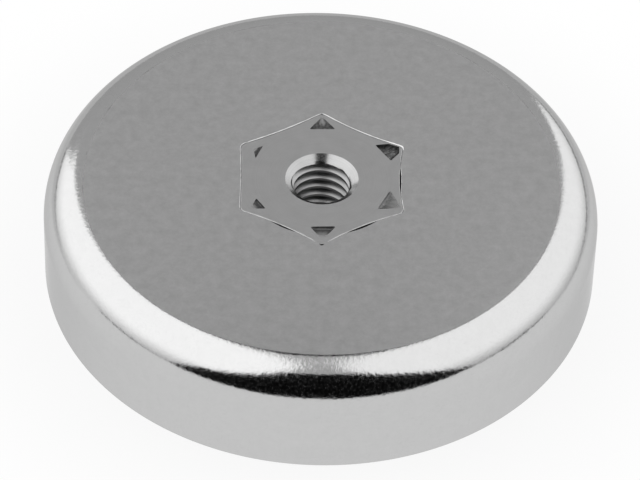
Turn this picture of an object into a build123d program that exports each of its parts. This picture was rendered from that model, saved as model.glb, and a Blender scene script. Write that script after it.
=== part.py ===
from build123d import *
from collections import namedtuple
import math
import os

# Shallow pot holding magnet: a drawn steel pot, a hexagonal threaded insert staked into its back,
# and a ring magnet potted inside. Millimetres. The origin is the middle of the holding face, which
# the rim and the magnet share at Z = 0. +Z runs up the axis to the threaded hole in the back.
# Two corners of the hexagon lie on the Y axis.

# Pot, deep-drawn from one round of sheet steel and plated
pot_diameter = 50.0  # over the rim, its widest place
pot_height = 10.0
sheet_thickness = 2.5
shoulder_radius = 3.8  # outside of the drawn corner between wall and back
wall_flare = 0.15  # how much further out the rim stands than the top of the wall
rim_chamfer = 0.25

# Hexagon of the insert, and the hole that it fills in the back of the pot
hex_flats = 14.2  # across the middles of two opposite sides
hex_corner_rounding = 0.8
hex_edge_break = 0.05
corner_fit = 0.03  # clearance at the corners, where staking drove the insert out to the pot
face_setback = 0.04  # the insert's face lies this far below the back of the pot

# Sides of the insert, anticlockwise from the side at 60 degrees. Each middle stands out from the
# hexagon by bow, and gap is its clearance to the pot there. Three of them sank in under the staking.
Side = namedtuple("Side", "bow gap")
sides = (
    Side(bow=-0.06, gap=0.03),
    Side(bow=0.02, gap=0.03),
    Side(bow=0.08, gap=0.03),
    Side(bow=-0.20, gap=0.17),
    Side(bow=-0.24, gap=0.21),
    Side(bow=-0.15, gap=0.14),
)

# Boss of the insert, round, which bears on the inside of the pot's base
boss_shoulder = 1.05  # how far the boss reaches past the hexagon's corners
boss_length = 5.5
boss_chamfer = 0.4

# Threaded hole, M6, drawn at the bore that the tap leaves
bore_diameter = 5.0
mouth_diameter = 6.55
exit_diameter = 6.0
sink_angle = 108.0  # full cone angle of the countersinks at both ends

# Stake marks, pits struck by hand into the insert's face inside its corners, so no two are alike.
# Each drove its corner out by spread. Its bottom and the corners of its mouth are given by how far
# they lie in from the hexagon's corner, and how far to the left of the line out to it. The bottom
# lies close to the inner edge. They start at the corner at 30 degrees and run anticlockwise.
Stake = namedtuple("Stake", "spread depth bottom mouth")
stakes = (
    Stake(0.28, 0.60, (1.15, 0.20), ((1.61, -0.97), (0.44, -0.49), (0.02, 0.20), (0.65, 1.02), (1.83, 1.47))),
    Stake(0.34, 0.50, (1.58, -0.25), ((1.75, -1.24), (0.10, -0.02), (1.81, 1.17))),
    Stake(0.24, 0.32, (1.60, 0.00), ((1.57, -0.90), (0.99, -0.11), (1.81, 0.82))),
    Stake(0.12, 0.38, (1.72, 0.30), ((1.87, -0.63), (0.74, 0.27), (1.96, 0.90))),
    Stake(0.14, 0.42, (1.92, 0.05), ((2.14, -1.04), (0.45, 0.03), (2.23, 1.26))),
    Stake(0.14, 0.42, (1.98, 0.50), ((2.11, -0.81), (0.28, 0.44), (2.29, 1.90))),
)
stake_tip_size = 0.12  # size of the flat at a pit's bottom, as a share of its mouth

# Ring magnet, sintered ferrite, ground flush with the rim
magnet_wall_gap = 1.75
magnet_boss_gap = 1.5
magnet_chamfer = 0.35

# Potting resin beside the magnet, one ring round it and one ring between it and the boss
outer_fill_setback = 0.5  # from the holding face to the edges of the resin's surface
fill_dip = 0.35  # how far that surface sags between its edges

# Sizes that follow from those above
base_inside = pot_height - sheet_thickness
rim_radius = pot_diameter / 2
wall_top_radius = rim_radius - wall_flare
wall_top = pot_height - shoulder_radius
inner_rim_radius = rim_radius - sheet_thickness
inner_top_radius = wall_top_radius - sheet_thickness
inner_corner_radius = max(shoulder_radius - sheet_thickness, 0.3)
hex_corner_radius = hex_flats / 2 / math.cos(math.radians(30))
boss_radius = hex_corner_radius + boss_shoulder
boss_end = base_inside - boss_length
insert_face = pot_height - face_setback
magnet_outer_radius = inner_top_radius - magnet_wall_gap
magnet_inner_radius = boss_radius + magnet_boss_gap


def make_revolved(profile):
    """Solid of revolution about Z from a closed outline in the XZ plane."""
    return revolve(Plane.XZ * make_face(profile), axis=Axis.Z)


def make_outside():
    """The pot as if it were solid: flared wall, drawn shoulder and flat back."""
    wall = Polyline(
        (0, pot_height),
        (0, 0),
        (rim_radius - rim_chamfer, 0),
        (rim_radius, rim_chamfer),
        (wall_top_radius, wall_top),
    )
    shoulder = RadiusArc(wall @ 1, (wall_top_radius - shoulder_radius, pot_height), -shoulder_radius)
    return make_revolved(Curve() + [wall, shoulder, Line(shoulder @ 1, wall @ 0)])


def make_cavity():
    """The space inside the pot, from the holding face up to its base."""
    wall = Polyline(
        (0, base_inside),
        (0, 0),
        (inner_rim_radius + rim_chamfer, 0),
        (inner_rim_radius, rim_chamfer),
        (inner_top_radius, base_inside - inner_corner_radius),
    )
    corner = RadiusArc(wall @ 1, (inner_top_radius - inner_corner_radius, base_inside), -inner_corner_radius)
    return make_revolved(Curve() + [wall, corner, Line(corner @ 1, wall @ 0)])


def polar_point(radius, angle):
    return radius * math.cos(math.radians(angle)), radius * math.sin(math.radians(angle))


def stake_angle(index):
    return 30 + 360 / len(stakes) * index


def make_hexagon(gap_share):
    """Hexagon with bowed sides and spread corners: the insert's with no gap, the hole's with the whole."""
    corners = [
        polar_point(hex_corner_radius + stake.spread + corner_fit * gap_share, stake_angle(index))
        for index, stake in enumerate(stakes)
    ]
    arcs = []
    for index, side in enumerate(sides):
        middle = polar_point(hex_flats / 2 + side.bow + side.gap * gap_share, stake_angle(index + 0.5))
        arcs.append(ThreePointArc(corners[index], middle, corners[(index + 1) % len(corners)]))
    outline = make_face(Curve() + arcs)
    return fillet(outline.vertices(), hex_corner_rounding)


def make_pot(cavity):
    hole = Pos(0, 0, base_inside) * extrude(make_hexagon(1), sheet_thickness)
    return make_outside() - cavity - hole


def make_countersink(mouth):
    """Cone that opens the bore to the mouth, with the mouth at Z = 0 and the bore below it."""
    depth = (mouth - bore_diameter) / 2 / math.tan(math.radians(sink_angle / 2))
    return Pos(0, 0, -depth / 2) * Cone(bore_diameter / 2, mouth / 2, depth)


def make_stake_pit(stake, angle):
    """Pit under Z = 0: a steep inner wall, and a floor that climbs towards the hexagon's corner."""
    mouth = [Vector(hex_corner_radius - inset, left) for inset, left in stake.mouth]
    bottom = Vector(hex_corner_radius - stake.bottom[0], stake.bottom[1])
    tip = [bottom + (corner - bottom) * stake_tip_size for corner in mouth]
    mouth_face = make_face(Polyline(*mouth, close=True))
    tip_face = Pos(0, 0, -stake.depth) * make_face(Polyline(*tip, close=True))
    return Rot(0, 0, angle) * loft([mouth_face, tip_face], ruled=True)


def make_insert():
    boss = extrude(Circle(boss_radius), boss_length)
    boss = chamfer(boss.edges().group_by(Axis.Z)[0], boss_chamfer)
    head = extrude(make_hexagon(0), insert_face - base_inside)
    head = chamfer(head.edges().group_by(Axis.Z)[-1], hex_edge_break)
    insert = Pos(0, 0, boss_end) * boss + Pos(0, 0, base_inside) * head
    insert -= Pos(0, 0, boss_end) * extrude(Circle(bore_diameter / 2), insert_face - boss_end)
    insert -= Pos(0, 0, insert_face) * make_countersink(mouth_diameter)
    insert -= Pos(0, 0, boss_end) * Rot(180, 0, 0) * make_countersink(exit_diameter)
    for index, stake in enumerate(stakes):
        insert -= Pos(0, 0, insert_face) * make_stake_pit(stake, stake_angle(index))
    return insert


def make_magnet():
    ring = extrude(Circle(magnet_outer_radius) - Circle(magnet_inner_radius), base_inside)
    return chamfer(ring.edges().filter_by(GeomType.CIRCLE), magnet_chamfer)


def make_fill(inner_radius, outer_radius, level, cavity, neighbours):
    """Resin poured to a level: it sags between its two edges and takes the shape of what is round it."""
    middle = (inner_radius + outer_radius) / 2
    surface = ThreePointArc((inner_radius, level), (middle, level + fill_dip), (outer_radius, level))
    sides = Polyline(
        (outer_radius, level),
        (outer_radius + magnet_chamfer, level),
        (outer_radius + magnet_chamfer, base_inside),
        (inner_radius - magnet_chamfer, base_inside),
        (inner_radius - magnet_chamfer, level),
        (inner_radius, level),
    )
    fill = make_revolved(Curve() + [surface, sides]) & cavity
    for neighbour in neighbours:
        fill -= neighbour
    return fill


cavity = make_cavity()
insert = make_insert()
magnet = make_magnet()
nodes = {
    "pot_shell": make_pot(cavity),
    "threaded_insert": insert,
    "ring_magnet": magnet,
    "outer_resin_ring": make_fill(
        magnet_outer_radius, inner_rim_radius, outer_fill_setback, cavity, [magnet]
    ),
    "inner_resin_ring": make_fill(
        boss_radius, magnet_inner_radius, boss_end + boss_chamfer, cavity, [magnet, insert]
    ),
}

os.makedirs("parts", exist_ok=True)
for name, solid in nodes.items():
    export_step(solid, f"parts/{name}.step")
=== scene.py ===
import math
from collections import namedtuple

import bmesh
import bpy
from mathutils import Matrix, Vector, noise
from mathutils.geometry import delaunay_2d_cdt


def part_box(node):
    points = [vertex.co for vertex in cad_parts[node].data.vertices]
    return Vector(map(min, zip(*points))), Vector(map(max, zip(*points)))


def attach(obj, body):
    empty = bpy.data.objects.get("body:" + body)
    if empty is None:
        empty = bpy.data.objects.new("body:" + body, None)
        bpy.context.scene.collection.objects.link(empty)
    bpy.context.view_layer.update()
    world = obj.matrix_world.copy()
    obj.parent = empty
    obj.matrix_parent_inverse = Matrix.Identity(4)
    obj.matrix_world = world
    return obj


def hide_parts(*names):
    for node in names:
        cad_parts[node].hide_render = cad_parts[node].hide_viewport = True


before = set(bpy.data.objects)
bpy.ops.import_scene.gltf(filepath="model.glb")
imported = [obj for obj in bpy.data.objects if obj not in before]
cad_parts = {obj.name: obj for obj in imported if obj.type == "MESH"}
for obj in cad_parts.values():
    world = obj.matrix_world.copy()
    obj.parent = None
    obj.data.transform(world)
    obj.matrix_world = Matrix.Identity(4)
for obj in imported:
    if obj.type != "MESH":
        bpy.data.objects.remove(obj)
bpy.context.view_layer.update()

# Pot shell. A shallow cup, deep-drawn from one round of steel sheet, with a hexagonal hole punched
# through its flat back. It is bright plated: satin on the back, mirror-like on the smooth wall and on
# the drawn corner, which keeps the fine orange peel of stretched sheet under the plating.
MM = 0.001
pot_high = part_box("pot_shell")[1]
pot_height = pot_high.z
rim_radius = pot_high.x
sheet = 2.5 * MM
shoulder_radius = 3.8 * MM
wall_flare = 0.15 * MM
rim_rounding = 0.25 * MM
hex_flats = 14.2 * MM
hex_corner_radius = hex_flats / 2 / math.cos(math.radians(30))
# How far staking drove each corner out, and how far open the hole stayed there. The corners start at
# 30 degrees and run anticlockwise, and so do the sides that follow them.
corner_spreads = [spread * MM for spread in (0.28, 0.34, 0.24, 0.12, 0.14, 0.14)]
corner_gaps = [gap * MM for gap in (0, 0, 0, 0, 0.19, 0)]
corner_trim = 0.056  # share of a side that each of its two rounded corners takes
corner_steps = 12
side_bows = [bow * MM for bow in (-0.06, 0.02, 0.08, -0.20, -0.24, -0.15)]
side_steps = 60
# Open stretch of each side, from and to which share of it, and how wide
side_gaps = (
    (0, 1, 0.004 * MM),
    (0, 1, 0.004 * MM),
    (0, 1, 0.006 * MM),
    (0.34, 0.68, 0.17 * MM),
    (0.32, 0.70, 0.21 * MM),
    (0.31, 0.68, 0.105 * MM),
)
hole_fit = 0.012 * MM
# Rounded edges of the seam: the hole's lip, the widest place of it, how far a lip falls at most, and
# the waves that make all of it uneven
hole_lip = 0.09 * MM
crushed_lip = 0.22 * MM
crushed_place = 32
crushed_reach = 1.5 * MM
lip_fall = 0.08 * MM
lip_steps = 6
lip_wave = 1.6 * MM
lip_ripple = 0.4 * MM
unbroken_corner = 270
unbroken_reach = 1.0 * MM
base_inside = pot_height - sheet
wall_top_radius = rim_radius - wall_flare
flat_radius = wall_top_radius - shoulder_radius
inner_rim_radius = rim_radius - sheet
inner_top_radius = wall_top_radius - sheet
inner_corner_radius = shoulder_radius - sheet
back_shares = (0.004, 0.02, 0.06, 0.15, 0.3, 0.5, 0.7, 0.85, 0.95, 0.99, 1)
wall_shares = (0.02, 0.1, 0.3, 0.5, 0.7, 0.9, 0.98, 1)
shoulder_steps = 30
inner_corner_steps = 8
rim_steps = 5
weld_reach = 0.0002 * MM
level_from = 0.99999  # upright part of a face's normal from which it counts as level
pot_sharp_degrees = 50
# Plating: depths under the back where the satin, the crease's painted shade and the peel's smoothing
# start
satin_depth = 0.008 * MM
crease_shade_depth = 0.016 * MM
smoothing_depth = 0.006 * MM


def direction(degrees):
    """Unit vector in the plane of the back."""
    return Vector((math.cos(math.radians(degrees)), math.sin(math.radians(degrees))))


def hexagon(growth, gap_share=0):
    """Outline of the staked hexagon, anticlockwise. The hole's stands off where a side sank in."""
    corners = [
        direction(30 + 60 * index) * (hex_corner_radius + spread + growth)
        for index, spread in enumerate(corner_spreads)
    ]

    def side_point(index, share):
        start = corners[index % 6]
        end = corners[(index + 1) % 6]
        outward = direction(60 * (index + 1))
        bow = hex_flats / 2 + side_bows[index % 6] + growth - (start + end).dot(outward) / 2
        first, last, width = side_gaps[index % 6]
        along_gap = min(1, max(0, (share - first) / (last - first)))
        gap = gap_share * width * 4 * along_gap * (1 - along_gap)
        return start.lerp(end, share) + outward * (bow * 4 * share * (1 - share) + gap)

    points = []
    for index in range(6):
        for step in range(side_steps + 1):
            points.append(side_point(index, corner_trim + (1 - 2 * corner_trim) * step / side_steps))
        before = side_point(index, 1 - corner_trim)
        after = side_point(index + 1, corner_trim)
        corner = corners[(index + 1) % 6]
        corner_gap = corner.normalized() * corner_gaps[(index + 1) % 6] * gap_share
        for step in range(1, corner_steps):
            share = step / corner_steps
            rounded = before.lerp(corner, share).lerp(corner.lerp(after, share), share)
            points.append(rounded + corner_gap * (4 * share * (1 - share)) ** 3)
    return points


def ring(outline, radius, share, height):
    """Ring of points part of the way from the hexagon's outline out to a circle."""
    return [Vector((*point.lerp(point.normalized() * radius, share), height)) for point in outline]


def quarter(steps):
    """Sines and cosines of the angles that divide a quarter turn, without its start."""
    angles = [math.pi / 2 * step / steps for step in range(1, steps + 1)]
    return [(math.sin(angle), math.cos(angle)) for angle in angles]


def bridge(mesh, lower, upper):
    """Band of four-sided faces between two closed rows of vertices."""
    for index in range(len(lower)):
        after = (index + 1) % len(lower)
        mesh.faces.new((lower[index], lower[after], upper[after], upper[index]))


def finish_mesh(name, mesh, sharp_degrees, crisp_flats=False):
    """Object from a mesh, smooth up to the given angle. Crisp flats have a sharp edge all round."""
    bmesh.ops.remove_doubles(mesh, verts=mesh.verts, dist=weld_reach)
    bmesh.ops.recalc_face_normals(mesh, faces=mesh.faces)
    for face in mesh.faces:
        face.smooth = True
    for edge in mesh.edges:
        level = [abs(face.normal.z) > level_from for face in edge.link_faces]
        bounds_flat = any(level) and not all(level)
        rounded = edge.calc_face_angle(0) < math.radians(sharp_degrees)
        edge.smooth = rounded and not (crisp_flats and bounds_flat)
    data = bpy.data.meshes.new(name)
    mesh.to_mesh(data)
    mesh.free()
    piece = bpy.data.objects.new(name, data)
    bpy.context.collection.objects.link(piece)
    return piece


def near(point, angle, reach):
    """One close to the hexagon's edge at an angle, falling smoothly to nothing at reach from it."""
    share = min(1, max(0, 2 - 2 * (point - direction(angle) * hex_corner_radius).length / reach))
    return share * share * (3 - 2 * share)


def edge_rounding(point, radius, crushed=0):
    """Uneven radius of a rounded edge, wide at the corner that was crushed most, small at the front."""
    place = Vector((*point, 0))
    wave = 0.6 * noise.noise(place / lip_wave)
    ripple = 0.5 * noise.noise(place / lip_ripple)
    uneven = radius * (1 + wave + ripple)
    if crushed:
        uneven += (crushed - uneven) * near(point, crushed_place, crushed_reach)
    return uneven * (1 - 0.8 * near(point, unbroken_corner, unbroken_reach))


def rounded_edge(outline, radius, top, outwards, crushed=0):
    """Rings of a quarter-round edge, from its vertical wall up to the flat top."""
    gap_share = 1 if outwards > 0 else 0
    inner_line = hexagon(0, gap_share)
    outer_line = hexagon(1 * MM, gap_share)
    rings = []
    for sine, cosine in [(0, 1)] + quarter(lip_steps):
        points = []
        for point, inner, outer in zip(outline, inner_line, outer_line):
            rounding = edge_rounding(point, radius, crushed)
            shift = (outer - inner) / MM * outwards * rounding * (1 - cosine)
            points.append(Vector((*(point + shift), top - min(rounding, lip_fall) * (1 - sine))))
        rings.append(points)
    return rings


def pot_rings():
    """Rings of the pot from the inner end of its hole, over the back and the wall and up the inside."""
    hole = hexagon(hole_fit, 1)
    lip = rounded_edge(hole, hole_lip, pot_height, outwards=1, crushed=crushed_lip)
    lip_end = [point.to_2d() for point in lip[-1]]
    rings = [ring(hole, 0, 0, base_inside)] + lip
    for share in back_shares:
        rings.append(ring(lip_end, flat_radius, share, pot_height))
    for sine, cosine in quarter(shoulder_steps):
        radius = flat_radius + shoulder_radius * sine
        rings.append(ring(hole, radius, 1, pot_height - shoulder_radius * (1 - cosine)))
    wall_top = pot_height - shoulder_radius
    for share in wall_shares:
        height = wall_top + (rim_rounding - wall_top) * share
        rings.append(ring(hole, wall_top_radius + wall_flare * share, 1, height))
    for sine, cosine in quarter(rim_steps):
        radius = rim_radius - rim_rounding * (1 - cosine)
        rings.append(ring(hole, radius, 1, rim_rounding * (1 - sine)))
    for sine, cosine in [(0, 1)] + quarter(rim_steps):
        radius = inner_rim_radius + rim_rounding * (1 - sine)
        rings.append(ring(hole, radius, 1, rim_rounding * (1 - cosine)))
    for sine, cosine in [(0, 1)] + quarter(inner_corner_steps):
        radius = inner_top_radius - inner_corner_radius * (1 - cosine)
        rings.append(ring(hole, radius, 1, base_inside - inner_corner_radius * (1 - sine)))
    return rings


def wire(tree, *links):
    """Links of a node tree, each as (from node, its output, to node, its input)."""
    for source, output, target, target_input in links:
        tree.links.new(source.outputs[output], target.inputs[target_input])


def add_node(tree, kind, **settings):
    """Node of a tree, with its settings, or its sockets by their names, filled in."""
    node = tree.nodes.new(kind)
    for key, value in settings.items():
        socket = key.replace("_", " ").title()
        if socket in node.inputs:
            node.inputs[socket].default_value = value
        else:
            setattr(node, key, value)
    return node


def new_material(name):
    """Material with its own node tree, and that tree's main shader."""
    material = bpy.data.materials.new(name)
    material.use_nodes = True
    return material, material.node_tree, material.node_tree.nodes["Principled BSDF"]


def ramp(tree, stops):
    """Colour ramp from (place, grey) stops."""
    node = add_node(tree, "ShaderNodeValToRGB")
    elements = node.color_ramp.elements
    while len(elements) < len(stops):
        elements.new(0.5)
    for element, (place, grey) in zip(elements, stops):
        element.position = place
        element.color = (grey, grey, grey, 1)
    return node


def graded(tree, first, last, start, end, interpolation="SMOOTHSTEP"):
    """Number that goes from start to end while its input goes from first to last."""
    node = add_node(tree, "ShaderNodeMapRange", interpolation_type=interpolation)
    for key, value in (("From Min", first), ("From Max", last), ("To Min", start), ("To Max", end)):
        node.inputs[key].default_value = value
    return node


def bright_plating():
    """Bright zinc plating, with its peel on the drawn corner only. Painted shade, a patchy dark line,
    runs round the back along the crease where the mirror-like corner turns into satin, which is partly
    diffuse."""
    material, tree, shader = new_material("bright_plating")
    shader.inputs["Specular Tint"].default_value = (0.8, 0.8, 0.8, 1)
    place = add_node(tree, "ShaderNodeTexCoord")
    cloud = add_node(tree, "ShaderNodeTexNoise", scale=900, detail=6, roughness=0.8)
    tint = ramp(tree, ((0.35, 0.722), (0.65, 0.745)))
    flat_tint = ramp(tree, ((0.35, 0.475), (0.65, 0.567)))
    height = add_node(tree, "ShaderNodeSeparateXYZ")
    flatness = graded(tree, pot_height - satin_depth, pot_height, 0, 1)
    bend = graded(tree, pot_height - crease_shade_depth, pot_height, 0, 1)
    # Painted shade: a dark line along the crease at the edge of the back, in patches
    painted_crease_shade = ramp(tree, ((0.2, 1), (0.6, 0.72), (0.85, 0.78), (0.97, 1)))
    patchy = add_node(tree, "ShaderNodeTexNoise", scale=260, detail=7, roughness=0.85)
    crease_shade_patches = ramp(tree, ((0.51, 0), (0.64, 0.9)))
    plated = add_node(tree, "ShaderNodeMix", data_type="RGBA")
    shaded = add_node(tree, "ShaderNodeMix", data_type="RGBA", blend_type="MULTIPLY")
    mottle = add_node(tree, "ShaderNodeTexNoise", scale=3600, detail=3)
    satin = ramp(tree, ((0.35, 0.07), (0.65, 0.14)))
    gloss = add_node(tree, "ShaderNodeMix", b=0.17)
    fleck = add_node(tree, "ShaderNodeTexNoise", scale=4600, detail=3)
    bare = ramp(tree, ((0.34, 0.97), (0.5, 1)))
    metal = add_node(tree, "ShaderNodeMix", b=0.6)
    stretch = graded(tree, pot_height - smoothing_depth, pot_height, 1, 0.012)
    peel = add_node(tree, "ShaderNodeTexNoise", scale=3200, detail=3, roughness=0.6)
    drawn = graded(tree, pot_height - 1.3 * shoulder_radius, pot_height - shoulder_radius, 0.1, 1)
    upper_lift = add_node(tree, "ShaderNodeMath", operation="MULTIPLY")
    lift = add_node(tree, "ShaderNodeMath", operation="MULTIPLY")
    relief = add_node(tree, "ShaderNodeBump", strength=1.0, distance=0.010 * MM)
    wire(
        tree,
        (place, "Object", height, "Vector"),
        (height, "Z", flatness, "Value"),
        (place, "Object", cloud, "Vector"),
        (cloud, "Fac", tint, "Fac"),
        (cloud, "Fac", flat_tint, "Fac"),
        (flatness, "Result", plated, "Factor"),
        (tint, "Color", plated, "A"),
        (flat_tint, "Color", plated, "B"),
        (height, "Z", bend, "Value"),
        (bend, "Result", painted_crease_shade, "Fac"),
        (place, "Object", patchy, "Vector"),
        (patchy, "Fac", crease_shade_patches, "Fac"),
        (crease_shade_patches, "Color", shaded, "Factor"),
        (plated, "Result", shaded, "A"),
        (painted_crease_shade, "Color", shaded, "B"),
        (shaded, "Result", shader, "Base Color"),
        (place, "Object", mottle, "Vector"),
        (mottle, "Fac", satin, "Fac"),
        (flatness, "Result", gloss, "Factor"),
        (satin, "Color", gloss, "A"),
        (gloss, "Result", shader, "Roughness"),
        (place, "Object", fleck, "Vector"),
        (fleck, "Fac", bare, "Fac"),
        (flatness, "Result", metal, "Factor"),
        (bare, "Color", metal, "A"),
        (metal, "Result", shader, "Metallic"),
        (height, "Z", stretch, "Value"),
        (place, "Object", peel, "Vector"),
        (height, "Z", drawn, "Value"),
        (peel, "Fac", upper_lift, 0),
        (stretch, "Result", upper_lift, 1),
        (upper_lift, "Value", lift, 0),
        (drawn, "Result", lift, 1),
        (lift, "Value", relief, "Height"),
        (relief, "Normal", shader, "Normal"),
    )
    return material


pot_mesh = bmesh.new()
pot_rows = [[pot_mesh.verts.new(point) for point in points] for points in pot_rings()]
for row, next_row in zip(pot_rows, pot_rows[1:] + pot_rows[:1]):
    bridge(pot_mesh, row, next_row)
pot = finish_mesh("drawn_pot", pot_mesh, pot_sharp_degrees)
pot.data.materials.append(bright_plating())
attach(pot, "root")
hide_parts("pot_shell")

# Threaded insert. One turned, tapped and plated steel piece: a hexagon that fills the hole in the pot,
# on a round boss that bears on the inside of the base. A tool struck a pit inside each corner and
# drove the corner out against the pot, which holds the two together.
face_setback = 0.04 * MM
head_edge = 0.085 * MM
boss_radius = hex_corner_radius + 1.05 * MM
boss_length = 5.5 * MM
boss_chamfer = 0.4 * MM
insert_face = pot_height - face_setback
boss_end = base_inside - boss_length
mouth_radius = 3.275 * MM
exit_radius = 3.0 * MM
sink_slope = math.tan(math.radians(54))
minor_radius = 2.5 * MM
thread_depth = 0.54 * MM
pitch = 1.0 * MM
thread_phase = 0.2  # share of a turn by which the thread is turned
run_in = 0.7 * MM  # depth under the face at which the thread is full; at half of that it starts
spare_turns = 2
turn_steps = 160
# Rising half of the thread from root to crest: shares of the pitch and of the depth
half_thread = ((0, 0), (0.11, 0), (0.122, 0.012), (0.28, 0.52), (0.395, 0.885), (0.43, 0.965))
thread_crest = ((0.47, 1), (0.53, 1))
# Struck pits, by the angle of their corner. A share of the depth, level, is the same all over the
# floor, and the rest comes towards the inner edge, the more suddenly the greater dip is. Dark is how
# dark they are painted, the dull steel the tool left together with painted shade of the hollow, fading
# how suddenly that comes towards the inner edge, and lean how much darker they are painted on their
# left. The mouth's corners are given by how far they lie in from the hexagon's corner, and how far to
# the left of the line out to it.
StakeMark = namedtuple("StakeMark", "angle depth level dip dark fading lean mouth")
stake_marks = (
    StakeMark(
        angle=30, depth=0.50 * MM, level=0.7, dip=1.7, dark=1.0, fading=0.2, lean=0.1,
        mouth=((1.61, -0.97), (0.44, -0.49), (0.02, 0.20), (0.65, 1.02), (1.83, 1.47)),
    ),
    StakeMark(
        angle=90, depth=0.34 * MM, level=0.08, dip=2.2, dark=1.0, fading=0.7, lean=-0.5,
        mouth=((1.75, -1.24), (0.10, -0.02), (1.81, 1.17)),
    ),
    StakeMark(
        angle=150, depth=0.32 * MM, level=0.0, dip=3.0, dark=1.0, fading=2.0, lean=0.0,
        mouth=((1.57, -0.90), (0.99, -0.11), (1.81, 0.82)),
    ),
    StakeMark(
        angle=210, depth=0.30 * MM, level=0.0, dip=3.0, dark=0.95, fading=1.2, lean=0.4,
        mouth=((1.87, -0.63), (0.74, 0.27), (1.96, 0.90)),
    ),
    StakeMark(
        angle=270, depth=0.30 * MM, level=0.0, dip=3.0, dark=0.9, fading=1.8, lean=0.0,
        mouth=((2.14, -1.04), (0.45, 0.03), (2.23, 1.26)),
    ),
    StakeMark(
        angle=330, depth=0.28 * MM, level=0.03, dip=2.6, dark=0.75, fading=0.8, lean=0.1,
        mouth=((2.11, -0.81), (0.28, 0.44), (2.29, 1.90)),
    ),
)
pit_rounding = 0.1  # share of a mouth's side that the rounding of each corner takes
pit_rounding_steps = 5
pit_side_steps = 10
pit_sizes = (
    1, 0.985, 0.965, 0.94, 0.91, 0.875, 0.84, 0.8, 0.75, 0.68, 0.6, 0.5, 0.4, 0.3, 0.2, 0.1, 0.03,
)
pit_shade_slope = math.radians(14)  # slope of a pit's wall from which it is painted fully dark, painted shade with the tool's dull steel
ridge_length = 0.8 * MM
ridge_width = 0.16 * MM
ridge_drop = 0.25
insert_sharp_degrees = 28
# Plating: depths under the face that set its tone
face_depth = 0.02 * MM
dull_from = 0.45 * MM
dull_to = 0.8 * MM
darkening_depth = 5 * MM


def circle(radius, steps, height):
    """Closed loop of points round the axis."""
    return [Vector((*direction(360 * step / steps) * radius, height)) for step in range(steps)]


def inside(loop, x, y):
    """True if a point lies inside a closed loop of points."""
    crossings = 0
    for first, second in zip(loop, loop[1:] + loop[:1]):
        if (first.y > y) != (second.y > y):
            if x < first.x + (second.x - first.x) * (y - first.y) / (second.y - first.y):
                crossings += 1
    return crossings % 2 == 1


def flat_face(mesh, outer, holes, height):
    """Flat face between an outer loop and holes, cut into triangles, in millimetres for precision."""
    inside_outer_loop = 1
    tolerance = 1e-6
    points = []
    edges = []
    for loop in [outer] + holes:
        start = len(points)
        points.extend(Vector((point.x / MM, point.y / MM)) for point in loop)
        edges.extend((start + index, start + (index + 1) % len(loop)) for index in range(len(loop)))
    flat, _, triangles, *_ = delaunay_2d_cdt(points, edges, [], inside_outer_loop, tolerance)
    verts = [mesh.verts.new((point.x * MM, point.y * MM, height)) for point in flat]
    for triangle in triangles:
        x = sum(flat[index].x for index in triangle) / 3 * MM
        y = sum(flat[index].y for index in triangle) / 3 * MM
        if not any(inside(hole, x, y) for hole in holes):
            mesh.faces.new([verts[index] for index in triangle])


def rounded_outline(corners):
    """Closed outline through straight sides and rounded corners."""
    points = []
    for index, corner in enumerate(corners):
        following = corners[(index + 1) % len(corners)]
        before = corner.lerp(corners[index - 1], pit_rounding)
        after = corner.lerp(following, pit_rounding)
        side_end = following.lerp(corner, pit_rounding)
        for step in range(pit_rounding_steps):
            share = step / pit_rounding_steps
            points.append(before.lerp(corner, share).lerp(corner.lerp(after, share), share))
        points.extend(after.lerp(side_end, step / pit_side_steps) for step in range(pit_side_steps))
    return points


def add_stake_mark(mesh, mark):
    """Pit, whose vertices keep how dark it is painted: the dull steel the tool left, and painted shade
    that deepens towards the inner edge and on the steep walls. Gives the loop where it leaves the face.
    """
    struck = mesh.verts.layers.float["struck"]
    along = direction(mark.angle)
    across = Vector((-along.y, along.x))
    outline = [Vector((hex_corner_radius - inset * MM, left * MM)) for inset, left in mark.mouth]
    mouth = rounded_outline(outline)
    inner_end = min(point.x for point in mouth)
    outer_end = max(point.x for point in mouth)
    centre = sum(outline, Vector((0, 0))) / len(outline)
    half_width = max(point.y for point in mouth) - centre.y
    rows = []
    for size in pit_sizes:
        wall = (1 - size**7) ** 1.5
        row = []
        for point in mouth:
            spot = centre + (point - centre) * size
            place = along * spot.x + across * spot.y
            inwards = (outer_end - spot.x) / (outer_end - inner_end)
            floor_share = mark.level + (1 - mark.level) * inwards**mark.dip
            ridges = noise.noise(Vector((spot.x / ridge_length, spot.y / ridge_width, mark.angle)))
            drop = mark.depth * wall * floor_share * (1 + ridge_drop * ridges * wall)
            vert = mesh.verts.new((*place, insert_face - drop))
            # Painted shade together with the tool's dull steel: darker towards the deep inner edge and
            # to one side
            tone = inwards**mark.fading * (1 + mark.lean * (spot.y - centre.y) / half_width)
            bare_ridge = 1.1 * min(0.5, max(0, ridges))
            vert[struck] = min(1, mark.dark * tone) * (1 - bare_ridge)
            row.append(vert)
        rows.append(row)
    for row, next_row in zip(rows, rows[1:]):
        bridge(mesh, row, next_row)
    mesh.faces.new(rows[-1])
    mesh.normal_update()
    # Painted shade: the steeper a pit's wall, the darker it is painted
    for vert in sum(rows[1:], []):
        steep = math.acos(min(1, abs(vert.normal.z)))
        vert[struck] = max(vert[struck], mark.dark * min(1, steep / pit_shade_slope))
    for vert in rows[0]:
        vert[struck] = 0
    return [vert.co.copy() for vert in rows[0]]


def thread_rows():
    """Places along one pitch of the thread, as shares of the pitch and of its depth."""
    falling = [(1 - share, depth) for share, depth in reversed(half_thread[1:])]
    return [*half_thread, *thread_crest, *falling]


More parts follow.
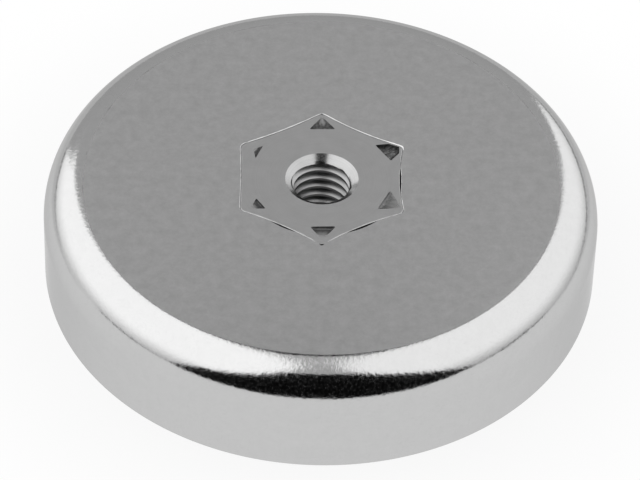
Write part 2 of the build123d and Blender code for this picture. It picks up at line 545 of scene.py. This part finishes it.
def add_threaded_bore(mesh):
    """Right-handed thread between the two countersinks, in rows that follow the helix."""
    rows = thread_rows()
    per_turn = len(rows)
    first_turn = math.floor(boss_end / pitch) - spare_turns
    turns = math.ceil((insert_face - boss_end) / pitch) + 2 * spare_turns + 1
    grid = []
    for step in range(turn_steps):
        column = []
        for count in range(turns * per_turn + 1):
            share, depth = rows[count % per_turn]
            height = (first_turn + count // per_turn + share + step / turn_steps + thread_phase) * pitch
            height = min(max(height, boss_end), insert_face)
            fade = min(1, max(0, (insert_face - height) / run_in - 0.5) * 2)
            radius = max(
                minor_radius + thread_depth * depth * fade,
                mouth_radius - (insert_face - height) * sink_slope,
                exit_radius - (height - boss_end) * sink_slope,
            )
            if height in (boss_end, insert_face):
                radius = mouth_radius if height == insert_face else exit_radius
            column.append(mesh.verts.new((*direction(360 * step / turn_steps) * radius, height)))
        grid.append(column)
    for step in range(turn_steps):
        after = (step + 1) % turn_steps
        shift = per_turn if after == 0 else 0
        for count in range(turns * per_turn - per_turn):
            mesh.faces.new((
                grid[step][count],
                grid[after][count + shift],
                grid[after][count + 1 + shift],
                grid[step][count + 1],
            ))


def insert_plating():
    """Plating of the insert: satin with turning marks on the face, darker and duller down the thread,
    dark and rough in the pits, where the tool's dull steel and painted shade of the hollows are painted."""
    material, tree, shader = new_material("insert_plating")
    shader.inputs["Specular Tint"].default_value = (0.8, 0.8, 0.8, 1)
    place = add_node(tree, "ShaderNodeTexCoord")
    cloud = add_node(tree, "ShaderNodeTexNoise", scale=700, detail=4)
    tint = ramp(tree, ((0.3, 0.665), (0.7, 0.72)))
    height = add_node(tree, "ShaderNodeSeparateXYZ")
    level = add_node(tree, "ShaderNodeVectorMath", operation="MULTIPLY")
    level.inputs[1].default_value = (1, 1, 0)
    reach = add_node(tree, "ShaderNodeVectorMath", operation="LENGTH")
    turning = add_node(tree, "ShaderNodeTexNoise", noise_dimensions="1D", scale=9000, detail=3)
    marks = ramp(tree, ((0.3, 0.95), (0.7, 1)))
    turned = add_node(tree, "ShaderNodeMix", data_type="RGBA", blend_type="MULTIPLY", factor=1)
    bore_depth = graded(tree, insert_face, insert_face - darkening_depth, 0, 1, "LINEAR")
    # Darker towards the bottom of the bore
    darker_down_bore = ramp(tree, ((0, 0.73), (0.006, 0.82), (0.14, 0.78), (1, 0.6)))
    turned_and_darkened = add_node(tree, "ShaderNodeMix", data_type="RGBA", blend_type="MULTIPLY", factor=1)
    # How dark the pits are painted: the dull steel the tool left and painted shade of the hollows
    struck = add_node(tree, "ShaderNodeAttribute", attribute_name="struck")
    mottle = add_node(tree, "ShaderNodeTexNoise", scale=5200, detail=2)
    bruise_and_shade = ramp(tree, ((0.3, 0.05), (0.7, 0.14)))
    bruised_and_shaded = add_node(tree, "ShaderNodeMix", data_type="RGBA")
    metal = graded(tree, insert_face - face_depth, insert_face, 1, 0.6)
    deep = graded(tree, insert_face - dull_from, insert_face - dull_to, 0.19, 0.31)
    roughened = add_node(tree, "ShaderNodeMath", operation="MULTIPLY_ADD")
    roughened.inputs[1].default_value = 0.35
    grain = add_node(tree, "ShaderNodeTexNoise", scale=4200, detail=2)
    relief = add_node(tree, "ShaderNodeBump", strength=1.0, distance=0.001 * MM)
    wire(
        tree,
        (place, "Object", cloud, "Vector"),
        (cloud, "Fac", tint, "Fac"),
        (place, "Object", height, "Vector"),
        (place, "Object", level, 0),
        (level, "Vector", reach, 0),
        (reach, "Value", turning, "W"),
        (turning, "Fac", marks, "Fac"),
        (tint, "Color", turned, "A"),
        (marks, "Color", turned, "B"),
        (place, "Object", mottle, "Vector"),
        (mottle, "Fac", bruise_and_shade, "Fac"),
        (height, "Z", bore_depth, "Value"),
        (bore_depth, "Result", darker_down_bore, "Fac"),
        (turned, "Result", turned_and_darkened, "A"),
        (darker_down_bore, "Color", turned_and_darkened, "B"),
        (turned_and_darkened, "Result", bruised_and_shaded, "A"),
        (bruise_and_shade, "Color", bruised_and_shaded, "B"),
        (struck, "Fac", bruised_and_shaded, "Factor"),
        (bruised_and_shaded, "Result", shader, "Base Color"),
        (height, "Z", metal, "Value"),
        (metal, "Result", shader, "Metallic"),
        (height, "Z", deep, "Value"),
        (struck, "Fac", roughened, 0),
        (deep, "Result", roughened, 2),
        (roughened, "Value", shader, "Roughness"),
        (place, "Object", grain, "Vector"),
        (grain, "Fac", relief, "Height"),
        (relief, "Normal", shader, "Normal"),
    )
    return material


insert_mesh = bmesh.new()
insert_mesh.verts.layers.float.new("struck")
head = hexagon(0)
head_rings = rounded_edge(head, head_edge, insert_face, outwards=-1)[::-1]
head_rings.append(ring(head, 0, 0, base_inside))
head_rings.append(ring(head, boss_radius, 1, base_inside))
head_rings.append(ring(head, boss_radius, 1, boss_end + boss_chamfer))
head_rings.append(ring(head, boss_radius - boss_chamfer, 1, boss_end))
head_rows = [[insert_mesh.verts.new(point) for point in points] for points in head_rings]
for row, next_row in zip(head_rows, head_rows[1:]):
    bridge(insert_mesh, row, next_row)
stake_loops = [add_stake_mark(insert_mesh, mark) for mark in stake_marks]
mouth_loop = circle(mouth_radius, turn_steps, insert_face)
flat_face(insert_mesh, head_rings[0], stake_loops + [mouth_loop], insert_face)
flat_face(insert_mesh, head_rings[-1], [circle(exit_radius, turn_steps, boss_end)], boss_end)
add_threaded_bore(insert_mesh)
insert = finish_mesh("staked_insert", insert_mesh, insert_sharp_degrees, crisp_flats=True)
insert.data.materials.append(insert_plating())
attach(insert, "root")
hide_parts("threaded_insert")

# Ring magnet. Sintered hard ferrite, a dark and brittle ceramic, potted in the pot. Its holding face
# was ground flush with the rim afterwards, so it carries the fine straight marks of the grinding wheel.
magnet = bpy.data.objects["ring_magnet"]


def ground_ferrite():
    """Dark grey ceramic with a fine grain, and grinding marks that run along Y and polished it."""
    material, tree, shader = new_material("ground_ferrite")
    place = add_node(tree, "ShaderNodeTexCoord")
    grain = add_node(tree, "ShaderNodeTexNoise", scale=2600, detail=4, roughness=0.7)
    tint = ramp(tree, ((0.35, 0.042), (0.65, 0.078)))
    parts = add_node(tree, "ShaderNodeSeparateXYZ")
    wheel = add_node(
        tree, "ShaderNodeTexNoise", noise_dimensions="1D", scale=2400, detail=5, roughness=0.7
    )
    marks = ramp(tree, ((0.3, 0.7), (0.7, 1)))
    marked = add_node(tree, "ShaderNodeMix", data_type="RGBA", blend_type="MULTIPLY", factor=1)
    polish = ramp(tree, ((0.3, 0.36), (0.7, 0.54)))
    relief = add_node(tree, "ShaderNodeBump", strength=1.0, distance=0.006 * MM)
    wire(
        tree,
        (place, "Object", grain, "Vector"),
        (grain, "Fac", tint, "Fac"),
        (place, "Object", parts, "Vector"),
        (parts, "X", wheel, "W"),
        (wheel, "Fac", marks, "Fac"),
        (tint, "Color", marked, "A"),
        (marks, "Color", marked, "B"),
        (marked, "Result", shader, "Base Color"),
        (wheel, "Fac", polish, "Fac"),
        (polish, "Color", shader, "Roughness"),
        (wheel, "Fac", relief, "Height"),
        (relief, "Normal", shader, "Normal"),
    )
    return material


magnet.data.materials.clear()
magnet.data.materials.append(ground_ferrite())

# Potting resin. Two rings of black epoxy, poured round the magnet and between it and the boss. Each
# sagged between its edges as it cured, and set with a glossy skin that has a few dull spots.


def cast_epoxy():
    """Black resin with a glossy, faintly wavy skin."""
    material, tree, shader = new_material("cast_epoxy")
    place = add_node(tree, "ShaderNodeTexCoord")
    cloud = add_node(tree, "ShaderNodeTexNoise", scale=900, detail=4)
    tint = ramp(tree, ((0.3, 0.014), (0.7, 0.026)))
    skin = ramp(tree, ((0.45, 0.16), (0.75, 0.42)))
    waves = add_node(tree, "ShaderNodeTexNoise", scale=500, detail=2)
    relief = add_node(tree, "ShaderNodeBump", strength=1.0, distance=0.05 * MM)
    wire(
        tree,
        (place, "Object", cloud, "Vector"),
        (cloud, "Fac", tint, "Fac"),
        (tint, "Color", shader, "Base Color"),
        (cloud, "Fac", skin, "Fac"),
        (skin, "Color", shader, "Roughness"),
        (place, "Object", waves, "Vector"),
        (waves, "Fac", relief, "Height"),
        (relief, "Normal", shader, "Normal"),
    )
    return material


resin = cast_epoxy()
for name in ("outer_resin_ring", "inner_resin_ring"):
    ring_of_resin = bpy.data.objects[name]
    ring_of_resin.data.materials.clear()
    ring_of_resin.data.materials.append(resin)

# Studio. A light tent: two lit white sides, a dim roof strip between them, a grey screen behind and
# black felt everywhere else. The floor's paper curls up at the front. The camera sees only white,
# and the plating mirrors the rest.
tent_radius = 0.9
felt_radius = 0.95
paper_radius = 0.88
floor_radius = 0.94
# Inner edges of the lit sides, as pitch and degrees to the side
left_edge = (
    (9, 56), (24, 48), (30, 45), (36, 41), (42, 31), (48, 24.5), (54, 18.5), (63, 11.5),
    (72, 7), (78, 4.7), (84, 3.4), (90, 2.8), (110, 2.7), (118, 3.4), (126, 3.8), (129, 8),
    (132, 17.5), (138, 23), (146, 26.5), (150, 29.5), (156, 34.5), (171, 37),
)
right_edge = (
    (9, 58), (24, 51), (30, 46), (36, 42), (42, 36.5), (48, 31), (54, 25.5), (60, 18.5),
    (65, 13.5), (72, 8.8), (78, 6.2), (84, 4.8), (90, 4), (100, 3.3), (112, 3.2), (120, 4),
    (130, 6.5), (134, 13.5), (142, 20.5), (150, 23), (171, 25),
)
# Their feet, as pitch and degrees above the floor, and the curled paper, as azimuth and degrees
left_foot = ((9, 8), (30, 7.8), (45, 6.3), (60, 4.5), (90, 3), (120, 1), (171, 0.2))
right_foot = ((9, 9), (30, 9), (45, 7.4), (60, 5.8), (90, 3.5), (120, 2), (171, 0.2))
paper_rise = (
    (-180, 0.1), (-130, 0.1), (-110, 1), (-90, 4.5), (-54, 8), (0, 8.2), (60, 8), (80, 6),
    (100, 0.5), (120, 0.1), (180, 0.1),
)
side_start = 3  # pitch at which the lit sides start, close above the floor
side_end = 177
side_rows = 80
side_columns = 24
strip_rows = 30
strip_columns = 8
# Heights, as shares of the tent's radius, between which a lit side brightens upwards
dim_to = -0.11
bright_from = 0.56


def between(table, at):
    """Value part of the way along a table of (place, value) pairs."""
    for (low, first), (high, second) in zip(table, table[1:]):
        if at <= high:
            return first + (second - first) * max(0, at - low) / (high - low)
    return table[-1][1]


def tent_place(pitch, side, radius=tent_radius):
    """Place on the tent. Pitch runs from the front over the top to the back, side turns to the right."""
    over = math.radians(pitch)
    turn = math.radians(side)
    ahead = -math.cos(turn) * math.cos(over)
    return Vector((math.sin(turn), ahead, math.cos(turn) * math.sin(over))) * radius


def bearing(azimuth, elevation):
    """Unit vector that is turned to the right from the front, and raised from the floor."""
    swing = math.radians(azimuth)
    rise = math.radians(elevation)
    return Vector((math.sin(swing) * math.cos(rise), -math.cos(swing) * math.cos(rise), math.sin(rise)))


def glow_material(name, strength, at_floor=1.0):
    """Even light, or light that falls off towards the floor to the given share."""
    material = bpy.data.materials.new(name)
    material.use_nodes = True
    tree = material.node_tree
    tree.nodes.clear()
    glow = add_node(tree, "ShaderNodeEmission", strength=strength)
    out = add_node(tree, "ShaderNodeOutputMaterial")
    if at_floor < 1:
        place = add_node(tree, "ShaderNodeTexCoord")
        height = add_node(tree, "ShaderNodeVectorMath", operation="DOT_PRODUCT")
        height.inputs[1].default_value = (0, 0.25, 1)
        fall_off = graded(
            tree, tent_radius * dim_to, tent_radius * bright_from, strength * at_floor, strength
        )
        wire(
            tree,
            (place, "Object", height, 0),
            (height, "Value", fall_off, "Value"),
            (fall_off, "Result", glow, "Strength"),
        )
    wire(tree, (glow, "Emission", out, "Surface"))
    return material


def stage_sheet(name, rows, material):
    """Part of the set, made from rows of places. Only reflections and light show it."""
    mesh = bmesh.new()
    grid = [[mesh.verts.new(place) for place in row] for row in rows]
    for low, high in zip(grid, grid[1:]):
        for column in range(len(low) - 1):
            mesh.faces.new((low[column], low[column + 1], high[column + 1], high[column]))
    data = bpy.data.meshes.new(name)
    mesh.to_mesh(data)
    mesh.free()
    data.materials.append(material)
    sheet = bpy.data.objects.new(name, data)
    bpy.context.collection.objects.link(sheet)
    sheet.visible_camera = False


def lit_side(name, strength, at_floor, edge, foot, hand):
    """Lit side of the tent, from its inner edge down to its foot above the floor."""
    rows = []
    for step in range(side_rows + 1):
        pitch = side_start + (side_end - side_start) * step / side_rows
        foot_height = math.sin(math.radians(between(foot, pitch)))
        foot_side = math.degrees(math.acos(min(1, foot_height / math.sin(math.radians(pitch)))))
        inner = between(edge, pitch)
        width = max(foot_side, inner) - inner
        sides = [inner + width * column / side_columns for column in range(side_columns + 1)]
        rows.append([tent_place(pitch, hand * side) for side in sides])
    stage_sheet(name, rows, glow_material(name + "_light", strength, at_floor))


def middle_strip(name, strength, first, last):
    """Strip of the tent that fills the space between the two lit sides."""
    rows = []
    for step in range(strip_rows + 1):
        pitch = first + (last - first) * step / strip_rows
        left = -between(left_edge, pitch)
        right = between(right_edge, pitch)
        sides = [left + (right - left) * column / strip_columns for column in range(strip_columns + 1)]
        rows.append([tent_place(pitch, side) for side in sides])
    stage_sheet(name, rows, glow_material(name + "_light", strength))


paper_white = 0.735
lit_side("left_side", strength=1.21, at_floor=0.4, edge=left_edge, foot=left_foot, hand=-1)
lit_side("right_side", strength=1.06, at_floor=0.38, edge=right_edge, foot=right_foot, hand=1)
middle_strip("roof_strip", strength=0.42, first=70, last=120)
middle_strip("grey_screen", strength=0.397, first=128.7, last=180)
azimuths = range(-180, 181, 6)
paper_foot = [bearing(azimuth, 0) * paper_radius for azimuth in azimuths]
paper_top = [bearing(azimuth, between(paper_rise, azimuth)) * paper_radius for azimuth in azimuths]
stage_sheet("curled_paper", [paper_foot, paper_top], glow_material("curled_paper_white", paper_white))
felt = [
    [tent_place(pitch, side, felt_radius) for side in range(-90, 91, 10)] for pitch in range(0, 181, 10)
]
stage_sheet("black_felt", felt, glow_material("felt_black", 0.0022))

floor_mesh = bmesh.new()
bmesh.ops.create_circle(floor_mesh, cap_ends=True, radius=floor_radius, segments=96)
floor_data = bpy.data.meshes.new("floor")
floor_mesh.to_mesh(floor_data)
floor_mesh.free()
floor = bpy.data.objects.new("floor", floor_data)
bpy.context.collection.objects.link(floor)
# Distances from the axis between which the floor that the camera sees turns to full white, and places
# along Y between which the floor that the plating mirrors gets darker, as painted shade
shadow_from = 0.025
shadow_to = 0.045
shade_from = 0.018
shade_to = 0.045


def floor_material():
    """White paper. The camera sees it white, a little less so near the object, where it shows its
    shadow too. The plating sees it as a grey glow, darker behind the object and dark underneath, both
    painted shade."""
    material, tree, shader = new_material("white_paper")
    tree.nodes.remove(shader)
    out = tree.nodes["Material Output"]
    paint = add_node(tree, "ShaderNodeBsdfDiffuse", color=(0.85, 0.85, 0.85, 1))
    path = add_node(tree, "ShaderNodeLightPath")
    place = add_node(tree, "ShaderNodeTexCoord")
    parts = add_node(tree, "ShaderNodeSeparateXYZ")
    distance = add_node(tree, "ShaderNodeVectorMath", operation="LENGTH")
    uncovered = add_node(tree, "ShaderNodeMath", operation="GREATER_THAN")
    uncovered.inputs[1].default_value = inner_rim_radius
    whiteness = graded(tree, shadow_from, shadow_to, 0.89, 1.0)
    seen_uncovered = add_node(tree, "ShaderNodeMath", operation="MULTIPLY")
    seen = add_node(tree, "ShaderNodeMath", operation="MULTIPLY")
    seen_white = add_node(tree, "ShaderNodeEmission", strength=1.0)
    first_mix = add_node(tree, "ShaderNodeMixShader")
    mirrored = add_node(tree, "ShaderNodeMath", operation="MAXIMUM")
    # Painted shade in the mirrored floor: darker behind the object, and dim under it
    shade = graded(tree, shade_from, shade_to, paper_white, 0.588)
    mirrored_uncovered = add_node(tree, "ShaderNodeMath", operation="MULTIPLY")
    mirrored_level = add_node(tree, "ShaderNodeMath", operation="MAXIMUM")
    mirrored_level.inputs[1].default_value = 0.15
    mirrored_white = add_node(tree, "ShaderNodeEmission")
    second_mix = add_node(tree, "ShaderNodeMixShader")
    wire(
        tree,
        (place, "Object", distance, 0),
        (distance, "Value", uncovered, 0),
        (distance, "Value", whiteness, "Value"),
        (whiteness, "Result", seen_uncovered, 0),
        (uncovered, "Value", seen_uncovered, 1),
        (path, "Is Camera Ray", seen, 0),
        (seen_uncovered, "Value", seen, 1),
        (seen, "Value", first_mix, 0),
        (paint, "BSDF", first_mix, 1),
        (seen_white, "Emission", first_mix, 2),
        (path, "Is Glossy Ray", mirrored, 0),
        (path, "Is Transmission Ray", mirrored, 1),
        (place, "Object", parts, "Vector"),
        (parts, "Y", shade, "Value"),
        (shade, "Result", mirrored_uncovered, 0),
        (uncovered, "Value", mirrored_uncovered, 1),
        (mirrored_uncovered, "Value", mirrored_level, 0),
        (mirrored_level, "Value", mirrored_white, "Strength"),
        (mirrored, "Value", second_mix, 0),
        (first_mix, "Shader", second_mix, 1),
        (mirrored_white, "Emission", second_mix, 2),
        (second_mix, "Shader", out, "Surface"),
    )
    return material


floor.data.materials.append(floor_material())

world = bpy.data.worlds.new("white_room")
bpy.context.scene.world = world
world.use_nodes = True
backdrop = world.node_tree.nodes["Background"]
backdrop.inputs["Color"].default_value = (1, 1, 1, 1)
backdrop.inputs["Strength"].default_value = 1.0
bpy.context.scene.view_settings.view_transform = "Standard"

# Camera. A long lens at about 45 degrees above the floor, rolled by under two degrees. It aims a
# little below the middle of the object, as the photo does.
camera_distance = 0.255
camera_elevation = 44.9
camera_azimuth = -1.2
camera_roll = 1.78
aim = Vector((0, 0, pot_height / 2))
aim_drop = 1.986 * MM
camera_data = bpy.data.cameras.new("camera")
camera_data.sensor_width = 36
camera_data.lens = 158.9
camera_data.clip_start = 0.01
camera_data.clip_end = 20
camera = bpy.data.objects.new("camera", camera_data)
bpy.context.collection.objects.link(camera)
bpy.context.scene.camera = camera
back = bearing(camera_azimuth, camera_elevation)
camera.location = aim + back * camera_distance
rightwards = Vector((*direction(camera_azimuth), 0))
look = aim - back.cross(rightwards) * aim_drop - camera.location
facing = look.to_track_quat("-Z", "Y").to_matrix().to_4x4()
roll = Matrix.Rotation(math.radians(camera_roll), 4, "Z")
camera.matrix_world = Matrix.Translation(camera.location) @ facing @ roll
